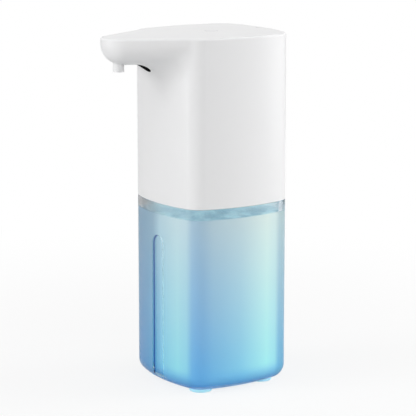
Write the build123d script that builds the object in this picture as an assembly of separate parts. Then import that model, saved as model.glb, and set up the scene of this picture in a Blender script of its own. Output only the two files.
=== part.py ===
from math import acos, asin, atan2, cos, degrees, pi, radians, sin, sqrt, tan
import os

from build123d import *

# Overall form. The body axis stands at x = 0, y = 0 while modelling; the spout points to -Y.
body_half = 35.0          # half the width across two opposite bowed sides
side_bow = 7.0            # how far each side swells past a straight line between its ends
corner_radius = 11.0
total_height = 193.0
seam_height = 102.2       # where the white head meets the clear tank
seam_gap = 0.3
fit_gap = 0.25            # sliding clearance between head and tank
seat_gap = 0.1            # clearance of a piece that is held in its seat
running_gap = 0.05        # radial clearance of a turning shaft

# Head shell
head_wall = 2.2
top_wall = 2.4
top_edge_radius = 1.2

# Spout
spout_reach = 67.0        # body axis to the front of the tip
spout_tip_radius = 13.0
spout_depth = 14.5
spout_edge_radius = 11.0
spout_blend_radius = 16.0
spout_root_angle = -46.0  # where its sides meet the body's rounded front corners
spout_root_share = 0.94   # share of the corner's radius at that place

# Nozzle under the tip
nozzle_setback = 8.8      # nozzle axis behind the front of the tip
nozzle_radius = 3.0
nozzle_drop = 3.7         # how far it stands below the spout
nozzle_bore_radius = 1.4
nozzle_flange_radius = 3.6
nozzle_flange_height = 1.1
nozzle_seat = 2.3         # height of the boss that carries the flange
hose_lift = 7.1           # centre line of the hose above the underside of the spout
barb_radius = 2.2
barb_length = 8.0
barb_turn = 35.0          # the barb points back and to one side, past the sensor
valve_radius = 2.1
valve_length = 3.0
valve_wall = 0.6

# Sensor window in the hollow under the spout
window_length = 12.5
window_width = 8.5
window_thickness = 1.8
window_shift = 5.65       # up the slope from the middle of the blend
sensor_holder_depth = 3.6
sensor_board_thickness = 1.0
sensor_eye_radius = 1.5
sensor_eye_spacing = 7.0
sensor_nose_radius = 1.2
sensor_room = 7.0         # depth of the cut that takes window, holder and board
blend_wall = 4.4          # wall left where the blend is hollowed out behind the sensor
blend_hollow = 14.6       # width of that hollow

# Tank
foot_height = 1.8
foot_radius = 6.2
foot_inset = 0.6          # depth of the pocket that holds each foot
foot_setback = 15.4       # foot axis in from the sides of the body
foot_edge_radius = 0.6
tank_wall = 3.8
tank_floor = 3.4
tank_edge_radius = 8.0
tank_inner_radius = 4.5
rim_height = 9.8          # the rim reaches this far up into the head
groove_width = 10.4
groove_depth = 1.5
groove_drop = 17.7        # top end of the groove below the seam

# Chassis: the tray that closes the head and plugs the tank
flange_thickness = 2.5
plug_depth = 6.3
tray_wall = 2.6
tray_floor = 2.5
gasket_height = 2.8
gasket_groove_depth = 1.3
post_radius = 3.2
post_setback = 15.5       # post axis in from the sides of the body
post_height = 35.2
post_screw_bite = 6.9
rib_width = 3.0

# Screws
screw_radius = 1.2
screw_head_radius = 2.3
screw_head_height = 1.5
recess_length = 0.6       # cross recess, as shares of the head's radius
recess_width = 0.2

# Gear pump
gear_teeth = 12
flank_steps = 3           # spans of the curve along each tooth flank
gear_module = 0.8
gear_addendum = 0.9
gear_dedendum = 1.25
pressure_angle = 20.0
gear_backlash = 0.16
gear_thickness = 7.8
gear_end_gap = 0.15
gear_tip_gap = 0.15
shaft_radius = 1.0
pump_setback = 29.0       # gear axes in from the back of the body
pump_side_gap = 2.5       # pump to the side of the tray
pump_floor = 2.4
pump_wall = 3.6
pump_gasket_thickness = 0.5
pump_cover_thickness = 2.8
port_radius = 1.8
port_offset = 4.2
seal_radius = 3.0
seal_height = 1.8

# Motor
motor_radius = 10.2
motor_length = 27.0
motor_cap_radius = 9.0
motor_cap_height = 2.4
motor_thread_depth = 4.0
motor_screw_bite = 3.2
terminal_size = (0.6, 2.4, 5.0)
terminal_spread = 6.6
pump_screw_offset = 7.3
pump_screw_radius = 1.0
pump_screw_head_radius = 1.9

# Dip tube and hose
tube_bore_radius = 2.25
tube_wall = 0.9
dip_tube_clearance = 3.0  # tube end above the tank floor
strainer_radius = 4.6
strainer_height = 7.0
strainer_slots = 6
strainer_slot_width = 1.2
strainer_slot_height = 2.0
hose_bend_radius = 9.0
hose_run = 17.0           # pump to where the hose climbs inside the head

# Battery
battery_radius = 7.1
battery_length = 49.0
battery_setback = 16.5    # cell axis in from the side of the body
battery_y = -2.0
button_radius = 2.8
button_height = 1.2
holder_wall = 1.4
holder_height = 22.0

# Main board, charge socket and its plug
board_width = 34.0
board_thickness = 1.6
board_lift = 3.5          # above the floor of the tray
board_headroom = 9.0      # below the top of the head
board_gap = 0.4           # in front of the wall hanger
board_screw_x = 13.0
board_screw_drop = 3.0    # below the wall pad
board_screw_bite = 4.4
socket_width = 8.94
socket_height = 3.26
socket_wall = 0.3
socket_tongue_width = 6.7
socket_tongue_thickness = 0.7
socket_tongue_setback = 1.3
plug_width = 13.4
plug_height = 7.4
plug_thickness = 1.3
plug_stub = 0.9

# Wall hanger: a flat pad with a T slot behind it
pad_width = 30.0
pad_height = 38.0
pad_drop = 12.0           # below the top of the head
pad_setback = 1.4
hanger_lip = 2.0
hanger_depth = 4.2
hanger_back = 1.2
hanger_entry_width = 16.0
hanger_entry_height = 13.0
hanger_entry_lift = 4.0   # above the lower end of the pad
hanger_neck_width = 8.0
hanger_drop = 7.0         # top of the slot below the upper end of the pad
hanger_side_margin = 1.0
hanger_end_margin = 3.0

# Touch key and charge light in the top
key_radius = 3.65
key_flange_radius = 5.5
key_flange_height = 1.0
key_board_radius = 8.0
key_board_thickness = 1.2
light_setback = 4.6       # in from the back of the body
light_width = 3.6
light_depth = 1.3
light_length = 6.5

# Leads between the boards, motor, cell and sensor
lead_radius = 0.7
lead_bend = 2.5
lead_rise = 5.0           # straight run before a lead turns to the main board
lead_pitch = 4.0

# Vent that lets air into the tank as the soap leaves
vent_x = 4.0
vent_y = -14.0
vent_stem_radius = 1.2
vent_bead_radius = 1.9
vent_bead_height = 1.4
vent_skirt_radius = 3.2
vent_skirt_thickness = 0.4
vent_hole_radius = 0.6
vent_hole_offset = 2.2

# Working values
over = 1.0                # cutters run this far past the faces they cut
near = 0.01               # edges this close to a height belong to it

# Values worked out from the sizes above
side_radius = (body_half**2 + side_bow**2) / (2 * side_bow)
side_centre = body_half - side_radius
reach_to_corner = side_radius - corner_radius
corner_centre = (side_centre + sqrt(2 * reach_to_corner**2 - side_centre**2)) / 2
side_angle = degrees(atan2(corner_centre, corner_centre - side_centre))
body_axis_y = (spout_reach - body_half) / 2
spout_bottom = total_height - spout_depth
nozzle_y = nozzle_setback - spout_reach
hose_height = spout_bottom + hose_lift
foot_position = body_half - foot_setback
post_position = body_half - post_setback
groove_top = seam_height - groove_drop
rim_top = seam_height + rim_height
flange_bottom = rim_top + seam_gap
tray_bottom = flange_bottom - plug_depth
tray_inside = tray_bottom + tray_floor
flange_top = flange_bottom + flange_thickness
post_top = flange_top + post_height
rim_inset = head_wall + fit_gap
plug_inset = tank_wall + 2 * fit_gap
gear_pitch_radius = gear_module * gear_teeth / 2
gear_tip_radius = gear_pitch_radius + gear_addendum * gear_module
chamber_radius = gear_tip_radius + gear_tip_gap
pump_half_width = chamber_radius + pump_wall
drive_x = plug_inset + tray_wall + pump_side_gap + pump_half_width - body_half
driven_x = drive_x + 2 * gear_pitch_radius
mesh_x = (drive_x + driven_x) / 2
pump_y = body_half - pump_setback
pump_front = pump_y - pump_half_width
hose_y = pump_front - hose_run
chamber_bottom = tray_inside + seat_gap + pump_floor
chamber_top = chamber_bottom + gear_thickness + 2 * gear_end_gap
cover_bottom = chamber_top + pump_gasket_thickness
cover_top = cover_bottom + pump_cover_thickness
motor_top = cover_top + motor_length
battery_x = body_half - battery_setback
battery_bottom = tray_inside + seat_gap + holder_wall + running_gap
battery_top = battery_bottom + battery_length
hanger_pad_y = body_half - pad_setback
hanger_front = hanger_pad_y - hanger_lip - hanger_depth - hanger_back
pad_top = total_height - pad_drop
pad_bottom = pad_top - pad_height
hanger_entry_bottom = pad_bottom + hanger_entry_lift
hanger_entry_top = hanger_entry_bottom + hanger_entry_height
hanger_top = pad_top - hanger_drop
board_back = hanger_front - board_gap
board_front = board_back - board_thickness
board_bottom = tray_inside + board_lift
board_top = total_height - board_headroom
board_screw_z = pad_bottom - board_screw_drop
socket_z = (flange_top + pad_bottom) / 2
light_y = body_half - light_setback
key_board_top = total_height - top_wall - key_flange_height - 2 * seat_gap
key_board_bottom = key_board_top - key_board_thickness


def rim_point(centre, radius, angle):
    return Vector(centre[0] + radius * cos(radians(angle)), centre[1] + radius * sin(radians(angle)))


def arc(centre, radius, start, end):
    return ThreePointArc(*[rim_point(centre, radius, a) for a in (start, (start + end) / 2, end)])


def plan_face(inset=0.0):
    """The bowed square of the body, seen from above, moved in by inset."""
    one_side = [
        arc((side_centre, 0), side_radius - inset, -side_angle, side_angle),
        arc((corner_centre, corner_centre), corner_radius - inset, side_angle, 90 - side_angle),
    ]
    edges = [edge.rotate(Axis.Z, 90 * k) for k in range(4) for edge in one_side]
    return Face(Wire(edges))


def prism(face, bottom, top):
    """A flat face drawn at height 0, stood between two heights."""
    return extrude(Pos(0, 0, bottom) * face, amount=top - bottom, dir=(0, 0, 1))


def body_prism(inset, bottom, top):
    return prism(plan_face(inset), bottom, top)


def rod(x, y, radius, bottom, top):
    return prism(Pos(x, y) * Circle(radius), bottom, top)


def rod_along_y(x, z, radius, front, back):
    """A round bar from y = front to y = back."""
    return extrude(Plane(origin=(x, front, z), z_dir=(0, 1, 0)) * Circle(radius), amount=back - front)


def slot_along_y(width, height, z, front, back):
    """A bar of stadium section, its long side along X, from y = front to y = back."""
    plane = Plane(origin=(0, front, z), x_dir=(1, 0, 0), z_dir=(0, 1, 0))
    return extrude(plane * SlotOverall(width, height), amount=back - front)


def block(x_range, y_range, z_range):
    size = [high - low for low, high in (x_range, y_range, z_range)]
    middle = [(high + low) / 2 for low, high in (x_range, y_range, z_range)]
    return Pos(*middle) * Box(*size)


def spout_corner(inset):
    """Where a straight side of the spout runs into the body's rounded front corner."""
    distance = (corner_radius - inset) * spout_root_share
    return rim_point((corner_centre, -corner_centre), distance, spout_root_angle)


def spout_face(inset):
    """Wedge with a round tip. Its straight sides run past the body's corners and are tangent to the tip."""
    tip = Vector(0, spout_tip_radius - spout_reach)
    tip_radius = spout_tip_radius - inset
    corner = spout_corner(inset)
    to_tip = tip - corner
    heading = degrees(atan2(to_tip.Y, to_tip.X)) + degrees(asin(tip_radius / to_tip.length))
    right = rim_point((tip.X, tip.Y), tip_radius, heading + 90)
    root = corner + (corner - right)
    outline = [
        ThreePointArc(right, (0, tip.Y - tip_radius), (-right.X, right.Y)),
        Polyline((-right.X, right.Y), (-root.X, root.Y), (root.X, root.Y), (right.X, right.Y)),
    ]
    return make_face(outline)


def spout_prism(inset, bottom, top, edge_radius):
    """The spout with its lower edge rounded along the sides and round the tip, cut off inside the body."""
    solid = prism(spout_face(inset), bottom, top)
    low_edges = solid.edges().filter_by(lambda e: abs(e.center().Z - bottom) < near)
    back_edge = low_edges.sort_by(Axis.Y)[-1]
    solid = fillet([e for e in low_edges if e is not back_edge], edge_radius)
    keep = block((-spout_reach, spout_reach), (-2 * spout_reach, spout_corner(inset).Y),
                 (bottom - over, top + over))
    return solid & keep


def head_form():
    """Outer form of the head as a full solid: body, spout, and the hollow blend between them."""
    body = body_prism(0, seam_height + seam_gap / 2, total_height)
    spout = spout_prism(0, spout_bottom, total_height, spout_edge_radius)
    form = body + spout
    joint_edges = new_edges(body, spout, combined=form)
    joint_edges = [e for e in joint_edges if e.center().Z < total_height - near]
    form = fillet(joint_edges, spout_blend_radius)
    top_edges = form.faces().sort_by(Axis.Z)[-1].outer_wire().edges()
    return fillet(top_edges, top_edge_radius)


def blend_plane(depth, along=0.0):
    """Plane square to the sensor's line of sight: depth into the head, along up the slope."""
    inward = Vector(0, 1, 1).normalized()
    up_slope = Vector(0, -1, 1).normalized()
    blend_centre = Vector(0, -body_half - spout_blend_radius, spout_bottom - spout_blend_radius)
    origin = blend_centre + inward * (spout_blend_radius + depth) + up_slope * (window_shift + along)
    return Plane(origin=origin, x_dir=up_slope, z_dir=inward)


def sensor_prism(start, end, gap):
    """Stadium bar along the sensor's line of sight, smaller than the window's hole by gap all round."""
    outline = SlotOverall(window_length - 2 * gap, window_width - 2 * gap)
    return extrude(blend_plane(start) * outline, amount=end - start)


def sunk_form(form, depth):
    """The head's outer form moved into itself, to give a sensor piece a face at that depth."""
    step = depth / sqrt(2)
    return Pos(0, step, step) * form


def corners(distance):
    return [(x, y) for x in (-distance, distance) for y in (-distance, distance)]


def head_posts():
    """Four screw posts that hang from ribs in the corners and stand on the chassis tray."""
    posts = None
    reach = (corner_centre - post_position) * sqrt(2) + corner_radius - head_wall / 2
    for x, y in corners(post_position):
        rib_size = (reach, rib_width, post_top - flange_top - fit_gap)
        rib = Pos(reach / 2, 0, post_top - rib_size[2] / 2) * Box(*rib_size)
        rib = Pos(x, y) * Rot(0, 0, degrees(atan2(y, x))) * rib
        post = rod(x, y, post_radius, tray_inside + seat_gap, post_top) + rib
        posts = post if posts is None else posts + post
    return posts


def hanger_block():
    """Thick place inside the back wall that carries the T slot."""
    half = pad_width / 2 - hanger_side_margin
    whole = block((-half, half), (hanger_front, body_half),
                  (hanger_entry_bottom - hanger_end_margin, hanger_top + hanger_end_margin))
    return whole & body_prism(head_wall / 2, pad_bottom, pad_top)


def hanger_cut():
    """Flat wall pad, entry for a hook, narrow neck above it and the wider room behind."""
    lip_inside = hanger_pad_y - hanger_lip
    room_front = lip_inside - hanger_depth
    half_pad = pad_width / 2
    half_entry = hanger_entry_width / 2
    neck_end = hanger_top - hanger_neck_width / 2
    pad = block((-half_pad, half_pad), (hanger_pad_y, body_half + over), (pad_bottom, pad_top))
    entry = block((-half_entry, half_entry), (room_front, body_half), (hanger_entry_bottom, hanger_entry_top))
    neck = block((-hanger_neck_width / 2, hanger_neck_width / 2), (room_front, body_half),
                 (hanger_entry_bottom, neck_end))
    neck_round = rod_along_y(0, neck_end, hanger_neck_width / 2, room_front, body_half)
    room = block((-half_entry, half_entry), (room_front, lip_inside), (hanger_entry_bottom, hanger_top))
    return pad + entry + neck + neck_round + room


def blend_cut(form):
    """Hollow inside the blend between front and spout, where the sensor sits."""
    half = blend_hollow / 2
    middle = block((-half, half), (-spout_reach, 0),
                   (spout_bottom - spout_blend_radius, total_height - top_wall))
    return middle & sunk_form(form, blend_wall)


def head_housing(form):
    """White shell of the head with its spout, inner posts, wall hanger and openings."""
    top_inside = total_height - top_wall
    shell = form - body_prism(head_wall, seam_height - over, top_inside)
    shell -= spout_prism(head_wall, spout_bottom + head_wall, top_inside, spout_edge_radius - head_wall)
    shell -= blend_cut(form)
    shell += head_posts() + hanger_block()
    frame_inside = body_half - plug_thickness - 2 * head_wall
    shell += block((-plug_width / 2, plug_width / 2), (frame_inside + head_wall, body_half - head_wall / 2),
                   (socket_z - plug_height / 2, socket_z + plug_height / 2))
    for x in (-board_screw_x, board_screw_x):
        shell += rod_along_y(x, board_screw_z, post_radius, board_back + running_gap,
                             body_half - side_bow / 2 + head_wall / 2)
        shell -= rod_along_y(x, board_screw_z, screw_radius + running_gap, board_back,
                             board_back + board_screw_bite + fit_gap)
    for x, y in corners(post_position):
        shell -= rod(x, y, screw_radius + running_gap, tray_inside,
                     tray_inside + screw_head_height + post_screw_bite + fit_gap)
    shell -= hanger_cut()
    shell -= slot_along_y(socket_width + 2 * fit_gap, socket_height + 2 * fit_gap, socket_z,
                          frame_inside - head_wall, body_half)
    pocket_floor = body_half - plug_thickness - seat_gap
    shell -= slot_along_y(plug_width + 2 * fit_gap, plug_height + 2 * fit_gap, socket_z,
                          pocket_floor, body_half + over)
    shell -= sensor_prism(-2 * spout_blend_radius, sensor_room, 0)
    seat_top = spout_bottom + head_wall + nozzle_seat
    shell += rod(0, nozzle_y, nozzle_flange_radius, spout_bottom + head_wall / 2, seat_top) & form
    shell -= rod(0, nozzle_y, nozzle_radius + seat_gap, spout_bottom - over, seat_top + over)
    shell -= rod(0, 0, key_radius + seat_gap, top_inside - over, total_height + over)
    light_hole = Pos(0, light_y) * SlotOverall(light_width + 2 * seat_gap, light_depth + 2 * seat_gap)
    shell -= prism(light_hole, top_inside - over, total_height + over)
    return shell


def sensor_window(form):
    return (sensor_prism(-2 * spout_blend_radius, spout_blend_radius, seat_gap) & form) \
        - sunk_form(form, window_thickness)


def sensor_holder(form):
    """Black block behind the window with one bore for each eye."""
    back = window_thickness + sensor_holder_depth
    holder = sensor_prism(-2 * spout_blend_radius, back, seat_gap)
    holder &= sunk_form(form, window_thickness + seat_gap)
    for along in (-sensor_eye_spacing / 2, sensor_eye_spacing / 2):
        bore = extrude(blend_plane(-spout_blend_radius, along) * Circle(sensor_eye_radius + seat_gap),
                       amount=2 * spout_blend_radius)
        holder -= bore
    return holder


def sensor_eye(along):
    """Round-nosed infrared eye standing on the sensor board."""
    back = window_thickness + sensor_holder_depth
    eye = extrude(blend_plane(window_thickness + 2 * fit_gap, along) * Circle(sensor_eye_radius),
                  amount=back - window_thickness - 2 * fit_gap)
    nose = eye.edges().filter_by(GeomType.CIRCLE).sort_by(Axis.Y)[0]
    return fillet(nose, sensor_nose_radius)


def sensor_board():
    start = window_thickness + sensor_holder_depth + running_gap
    return sensor_prism(start, start + sensor_board_thickness, seat_gap)


def barb_plane(distance):
    """Plane across the nozzle's side barb, at a distance from the nozzle's axis."""
    way = Vector(-sin(radians(barb_turn)), cos(radians(barb_turn)), 0)
    return Plane(origin=Vector(0, nozzle_y, hose_height) + way * distance, z_dir=way)


def nozzle():
    """Outlet that drops through the spout's floor, held by a flange, with a barb for the hose."""
    bottom = spout_bottom - nozzle_drop
    floor = spout_bottom + head_wall + nozzle_seat
    top = hose_height + nozzle_radius
    part = rod(0, nozzle_y, nozzle_radius, bottom, top)
    part += rod(0, nozzle_y, nozzle_flange_radius, floor, floor + nozzle_flange_height)
    part += extrude(barb_plane(0) * Circle(barb_radius), amount=nozzle_radius + barb_length)
    part -= rod(0, nozzle_y, nozzle_bore_radius, bottom - over, hose_height)
    part -= extrude(barb_plane(0) * Circle(nozzle_bore_radius), amount=nozzle_radius + barb_length + over)
    part -= rod(0, nozzle_y, valve_radius + running_gap, bottom - over, bottom + valve_length + seat_gap)
    return part


def drip_valve():
    """Soft cup in the nozzle's mouth, slit crosswise so that it shuts when the pump stops."""
    bottom = spout_bottom - nozzle_drop + seat_gap
    cup = rod(0, nozzle_y, valve_radius, bottom, bottom + valve_length)
    cup -= rod(0, nozzle_y, valve_radius - valve_wall, bottom + valve_wall, bottom + valve_length + over)
    slit_half = valve_radius - valve_wall
    slit = block((-slit_half, slit_half), (nozzle_y - running_gap, nozzle_y + running_gap),
                 (bottom - over, bottom + valve_wall + over))
    return cup - slit - slit.rotate(Axis((0, nozzle_y, 0), (0, 0, 1)), 90)


def touch_key():
    flange_top_z = total_height - top_wall - seat_gap
    bottom = flange_top_z - key_flange_height
    return rod(0, 0, key_radius, bottom, total_height) + rod(0, 0, key_flange_radius, bottom, flange_top_z)


def touch_board():
    return rod(0, 0, key_board_radius, key_board_bottom, key_board_top)


def charge_light():
    outline = Pos(0, light_y) * SlotOverall(light_width, light_depth)
    return prism(outline, total_height - light_length, total_height)


def tank_bottle():
    """Clear cup. Its rim steps in and slides up inside the head; a groove runs down its front."""
    outside = body_prism(0, foot_height, seam_height - seam_gap / 2)
    outside = fillet(outside.faces().sort_by(Axis.Z)[0].edges(), tank_edge_radius)
    inside = body_prism(tank_wall, foot_height + tank_floor, rim_top + over)
    inside = fillet(inside.faces().sort_by(Axis.Z)[0].edges(), tank_inner_radius)
    tank = outside + body_prism(rim_inset, seam_height - tank_wall, rim_top) - inside
    groove_floor = groove_depth - body_half
    half = groove_width / 2
    tank -= block((-half, half), (-body_half - over, groove_floor), (0, groove_top - half))
    tank -= rod_along_y(0, groove_top - half, half, -body_half - over, groove_floor)
    for x, y in corners(foot_position):
        tank -= rod(x, y, foot_radius + seat_gap, 0, foot_height + foot_inset)
    return tank


def tank_feet():
    feet = []
    for x, y in corners(foot_position):
        foot = rod(x, y, foot_radius, 0, foot_height + foot_inset - running_gap)
        feet.append(fillet(foot.edges().filter_by(GeomType.CIRCLE).sort_by(Axis.Z)[0], foot_edge_radius))
    return feet


def chassis():
    """Tray that closes the head from below and plugs the mouth of the tank."""
    tray = body_prism(head_wall + fit_gap, flange_bottom, flange_top)
    tray += body_prism(plug_inset, tray_bottom, flange_bottom)
    tray -= body_prism(plug_inset + tray_wall, tray_inside, flange_top + over)
    groove_bottom = (tray_bottom + flange_bottom - gasket_height) / 2 - seat_gap
    groove_top_edge = groove_bottom + gasket_height + 2 * seat_gap
    tray -= body_prism(0, groove_bottom, groove_top_edge) \
        - body_prism(plug_inset + gasket_groove_depth, groove_bottom, groove_top_edge)
    tray -= rod(mesh_x, pump_y + port_offset, barb_radius + seat_gap, tray_bottom - over, tray_inside + over)
    tray -= rod(vent_x, vent_y, vent_stem_radius + running_gap, tray_bottom - over, tray_inside + over)
    for side in (-1, 1):
        hole_x = vent_x + side * vent_hole_offset
        tray -= rod(hole_x, vent_y, vent_hole_radius, tray_bottom - over, tray_inside + over)
    for x, y in corners(post_position):
        tray -= rod(x, y, screw_radius + seat_gap, tray_bottom - over, tray_inside + over)
        tray -= rod(x, y, screw_head_radius + seat_gap, tray_bottom - over, tray_bottom + screw_head_height)
    return tray


def tank_gasket():
    bottom = (tray_bottom + flange_bottom - gasket_height) / 2
    ring = body_prism(tank_wall + fit_gap, bottom, bottom + gasket_height)
    return ring - body_prism(plug_inset + gasket_groove_depth - running_gap, bottom, bottom + gasket_height)


def vent_valve():
    """Soft mushroom: its thin skirt lies over the air holes on the tank's side, a bead holds it above."""
    skirt_top = tray_bottom - running_gap
    bead_bottom = tray_inside + running_gap
    part = rod(vent_x, vent_y, vent_skirt_radius, skirt_top - vent_skirt_thickness, skirt_top)
    part += rod(vent_x, vent_y, vent_stem_radius, skirt_top, bead_bottom)
    return part + rod(vent_x, vent_y, vent_bead_radius, bead_bottom, bead_bottom + vent_bead_height)


def screw(head_radius, radius, length, socket_depth):
    """Plain pan screw standing on its head, with a cross recess."""
    part = rod(0, 0, head_radius, 0, screw_head_height) + rod(0, 0, radius, 0, screw_head_height + length)
    arm = head_radius * recess_length
    width = head_radius * recess_width
    for angle in (0, 90):
        part -= Rot(0, 0, angle) * block((-arm, arm), (-width, width), (-1, socket_depth))
    return part


def chassis_screws():
    length = tray_floor + post_screw_bite
    one = screw(screw_head_radius, screw_radius, length, screw_head_height / 2)
    return [Pos(x, y, tray_bottom - seat_gap) * one for x, y in corners(post_position)]


def board_screws():
    one = screw(screw_head_radius, screw_radius, board_thickness + board_screw_bite, screw_head_height / 2)
    turned = Rot(-90, 0, 0) * one
    front = board_front - screw_head_height - running_gap
    return [Pos(x, front, board_screw_z) * turned for x in (-board_screw_x, board_screw_x)]


def gear_face():
    """Involute spur gear with a tooth on the +X axis, thinned for backlash."""
    base = gear_pitch_radius * cos(radians(pressure_angle))
    root = gear_pitch_radius - gear_dedendum * gear_module
    roll_at_pitch = tan(radians(pressure_angle)) - radians(pressure_angle)
    half_tooth = pi / (2 * gear_teeth) - gear_backlash / (2 * gear_pitch_radius)

    def flank(radius, side):
        turn = acos(base / radius)
        angle = half_tooth + roll_at_pitch - (tan(turn) - turn)
        return Vector(radius * cos(angle), side * radius * sin(angle))

    steps = [base + (gear_tip_radius - base) * k / flank_steps for k in range(flank_steps + 1)]
    foot_angle = half_tooth + roll_at_pitch
    foot = [Vector(root * cos(foot_angle), side * root * sin(foot_angle)) for side in (-1, 1)]
    next_angle = 2 * pi / gear_teeth - foot_angle
    gap_end = Vector(root * cos(next_angle), root * sin(next_angle))
    gap_middle = Vector(root * cos(pi / gear_teeth), root * sin(pi / gear_teeth))
    tooth = [
        Line(foot[0], flank(steps[0], -1)),
        Spline(*[flank(r, -1) for r in steps]),
        ThreePointArc(flank(gear_tip_radius, -1), (gear_tip_radius, 0), flank(gear_tip_radius, 1)),
        Spline(*[flank(r, 1) for r in reversed(steps)]),
        Line(flank(steps[0], 1), foot[1]),
        ThreePointArc(foot[1], gap_middle, gap_end),
    ]
    edges = [e.rotate(Axis.Z, 360 / gear_teeth * k) for k in range(gear_teeth) for e in tooth]
    return Face(Wire(edges))


def gear(x, turn, bore):
    bottom = chamber_bottom + gear_end_gap
    face = Pos(x, pump_y) * Rot(0, 0, turn) * gear_face()
    disc = prism(face, bottom, bottom + gear_thickness)
    return disc - rod(x, pump_y, bore, bottom - over, chamber_top + over)


def drive_gear():
    return gear(drive_x, 0, shaft_radius)


def driven_gear():
    return gear(driven_x, 180 / gear_teeth, shaft_radius + running_gap)


def driven_pin():
    top = cover_bottom + pump_cover_thickness / 2
    return rod(driven_x, pump_y, shaft_radius, chamber_bottom - pump_floor / 2, top)


def pump_outline(bottom, top):
    outline = Pos(mesh_x, pump_y) * SlotCenterToCenter(2 * gear_pitch_radius, 2 * pump_half_width)
    return prism(outline, bottom, top)


def pump_chamber(bottom, top):
    """Room for both gears, with a pocket on each side of the mesh for the liquid."""
    room = rod(drive_x, pump_y, chamber_radius, bottom, top)
    room += rod(driven_x, pump_y, chamber_radius, bottom, top)
    for side in (-1, 1):
        room += rod(mesh_x, pump_y + side * port_offset, port_radius + fit_gap, bottom, top)
    return room


def pump_screw_places():
    return [(x, pump_y + side * pump_screw_offset) for x in (drive_x, driven_x) for side in (-1, 1)]


def pump_body():
    """Gear chamber with the inlet barb below and the outlet barb in front."""
    bottom = tray_inside + seat_gap
    middle = (chamber_bottom + chamber_top) / 2
    inlet_y = pump_y + port_offset
    inlet_end = tray_bottom - barb_length
    part = pump_outline(bottom, chamber_top)
    part += rod(mesh_x, inlet_y, barb_radius, inlet_end, bottom + pump_floor / 2)
    outlet_end = pump_front - barb_length + over
    part += rod_along_y(mesh_x, middle, barb_radius, outlet_end, pump_front + pump_wall / 2)
    part -= pump_chamber(chamber_bottom, chamber_top + over)
    part -= rod(mesh_x, inlet_y, nozzle_bore_radius, inlet_end - over, chamber_top)
    part -= rod_along_y(mesh_x, middle, nozzle_bore_radius, outlet_end - over, pump_y - port_offset)
    part -= rod(driven_x, pump_y, shaft_radius, chamber_bottom - pump_floor / 2, chamber_top)
    for x, y in pump_screw_places():
        part -= rod(x, y, pump_screw_radius + running_gap, bottom - over, chamber_top + over)
        if x == drive_x:
            part -= rod(x, y, pump_screw_head_radius + seat_gap, bottom - over, bottom + screw_head_height)
    return part


def pump_gasket():
    part = pump_outline(chamber_top, cover_bottom) - pump_chamber(chamber_top, cover_bottom)
    for x, y in pump_screw_places():
        part -= rod(x, y, pump_screw_radius + running_gap, chamber_top, cover_bottom)
    return part


def pump_cover():
    part = pump_outline(cover_bottom, cover_top)
    part -= rod(drive_x, pump_y, shaft_radius + running_gap, cover_bottom, cover_top)
    part -= rod(drive_x, pump_y, seal_radius + running_gap, cover_top - seal_height - seat_gap, cover_top)
    part -= rod(driven_x, pump_y, shaft_radius, cover_bottom, cover_bottom + pump_cover_thickness / 2)
    for x, y in pump_screw_places():
        part -= rod(x, y, pump_screw_radius + running_gap, cover_bottom, cover_top)
    return part


def shaft_seal():
    bottom = cover_top - seal_height - running_gap
    ring = rod(drive_x, pump_y, seal_radius, bottom, bottom + seal_height)
    return ring - rod(drive_x, pump_y, shaft_radius + running_gap, bottom, bottom + seal_height)


def pump_screws():
    """Two screws go up through the pump into the motor, two hold the cover's free end."""
    bottom = tray_inside + seat_gap
    up_length = cover_top - bottom - screw_head_height + motor_screw_bite
    up = screw(pump_screw_head_radius, pump_screw_radius, up_length, screw_head_height / 2)
    down_length = cover_top - chamber_bottom
    down = screw(pump_screw_head_radius, pump_screw_radius, down_length, screw_head_height / 2)
    down = Rot(180, 0, 0) * down
    screws = []
    for x, y in pump_screw_places():
        if x == drive_x:
            screws.append(Pos(x, y, bottom) * up)
        else:
            screws.append(Pos(x, y, cover_top + screw_head_height) * down)
    return screws


def motor_can():
    bottom = cover_top
    can = rod(drive_x, pump_y, motor_radius, bottom, bottom + motor_length)
    can = fillet(can.edges().filter_by(GeomType.CIRCLE).sort_by(Axis.Z)[0], top_edge_radius)
    can -= rod(drive_x, pump_y, shaft_radius + running_gap, bottom - over, bottom + motor_length + over)
    for x, y in pump_screw_places():
        if x == drive_x:
            can -= rod(x, y, pump_screw_radius + running_gap, bottom - over, bottom + motor_thread_depth)
    return can


def motor_cap():
    bottom = motor_top
    cap = rod(drive_x, pump_y, motor_cap_radius, bottom, bottom + motor_cap_height)
    for side in (-1, 1):
        cap -= Pos(drive_x + side * terminal_spread, pump_y, bottom + motor_cap_height / 2) \
            * Box(terminal_size[0], terminal_size[1], motor_cap_height)
    top = bottom + motor_cap_height
    return cap - rod(drive_x, pump_y, shaft_radius + running_gap, bottom - over, top + over)


def motor_terminals():
    height = terminal_size[2]
    middle = motor_top + height / 2
    return [Pos(drive_x + side * terminal_spread, pump_y, middle) * Box(*terminal_size) for side in (-1, 1)]


def motor_shaft():
    top = motor_top + motor_cap_height
    return rod(drive_x, pump_y, shaft_radius, chamber_bottom + gear_end_gap, top + shaft_radius)


def dip_tube():
    bottom = foot_height + tank_floor + dip_tube_clearance
    x, y = mesh_x, pump_y + port_offset
    outer = rod(x, y, tube_bore_radius + tube_wall, bottom, tray_bottom - seat_gap)
    return outer - rod(x, y, tube_bore_radius, bottom - over, tray_bottom)


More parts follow.
